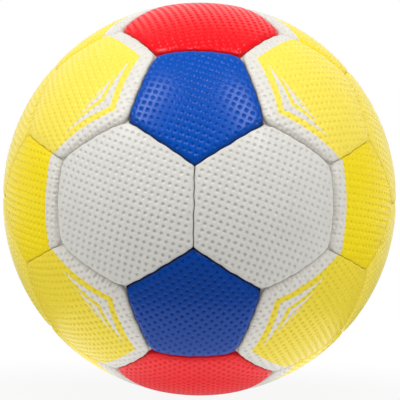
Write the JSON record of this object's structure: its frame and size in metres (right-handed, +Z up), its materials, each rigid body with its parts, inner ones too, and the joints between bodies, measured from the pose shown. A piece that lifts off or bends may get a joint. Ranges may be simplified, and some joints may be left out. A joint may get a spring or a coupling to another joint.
{
  "type": "handball",
  "caption": "Inflatable ball sewn from hexagon and pentagon panels in white, yellow, red and blue, with a bladder and a needle valve inside, for throwing and catching by hand.",
  "frame": {"origin": "the ball's centre", "axes": "+Z up; -Y towards the viewer, through the middle of the upright seam between two white hexagons"},
  "size_m": [0.175, 0.175, 0.175],
  "materials": {
    "white_cover": "embossed, satin",
    "yellow_cover": "embossed, satin",
    "red_cover": "embossed, satin",
    "blue_cover": "embossed, satin",
    "foam": "closed-cell foam",
    "lining": "woven cotton blend",
    "thread": "waxed polyester",
    "bladder": "moulded, matte",
    "valve_seat": "moulded, matte",
    "valve_plug": "moulded, satin"
  },
  "bodies": {
    "ball": {"bladder": "bladder", "blue_pentagon_back_lower": "blue_cover", "blue_pentagon_back_upper": "blue_cover", "blue_pentagon_front_lower": "blue_cover", "blue_pentagon_front_upper": "blue_cover", "hexagon_foams": "foam", "hexagon_linings": "lining", "hexagon_seam_threads": "thread", "pentagon_foams": "foam", "pentagon_linings": "lining", "pentagon_seam_threads": "thread", "red_hexagon_back_lower": "red_cover", "red_hexagon_back_upper": "red_cover", "red_hexagon_front_lower": "red_cover", "red_hexagon_front_upper": "red_cover", "valve_hexagon_foam": "foam", "valve_hexagon_lining": "lining", "valve_seat": "valve_seat", "white_hexagon_back_left": "white_cover", "white_hexagon_back_right": "white_cover", "white_hexagon_front_left": "white_cover", "white_hexagon_front_right": "white_cover", "yellow_hexagon_back_lower_left": "yellow_cover", "yellow_hexagon_back_lower_right": "yellow_cover", "yellow_hexagon_back_upper_left": "yellow_cover", "yellow_hexagon_back_upper_right": "yellow_cover", "yellow_hexagon_front_lower_left": "yellow_cover", "yellow_hexagon_front_lower_right": "yellow_cover", "yellow_hexagon_front_upper_left": "yellow_cover", "yellow_hexagon_front_upper_right": "yellow_cover", "yellow_hexagon_lower_left": "yellow_cover", "yellow_hexagon_lower_right": "yellow_cover", "yellow_hexagon_upper_left": "yellow_cover", "yellow_hexagon_upper_right": "yellow_cover", "yellow_pentagon_back_left": "yellow_cover", "yellow_pentagon_back_right": "yellow_cover", "yellow_pentagon_front_left": "yellow_cover", "yellow_pentagon_front_right": "yellow_cover", "yellow_pentagon_lower_left": "yellow_cover", "yellow_pentagon_lower_right": "yellow_cover", "yellow_pentagon_upper_left": "yellow_cover", "yellow_pentagon_upper_right": "yellow_cover"},
    "plug": {"valve_plug": "valve_plug"}
  },
  "joints": [
    {"name": "plug_draw", "type": "slide", "parent": "ball", "child": "plug", "axis": [0, 0.3568, 0.9342], "range_m": [0, 0.02]}
  ]
}
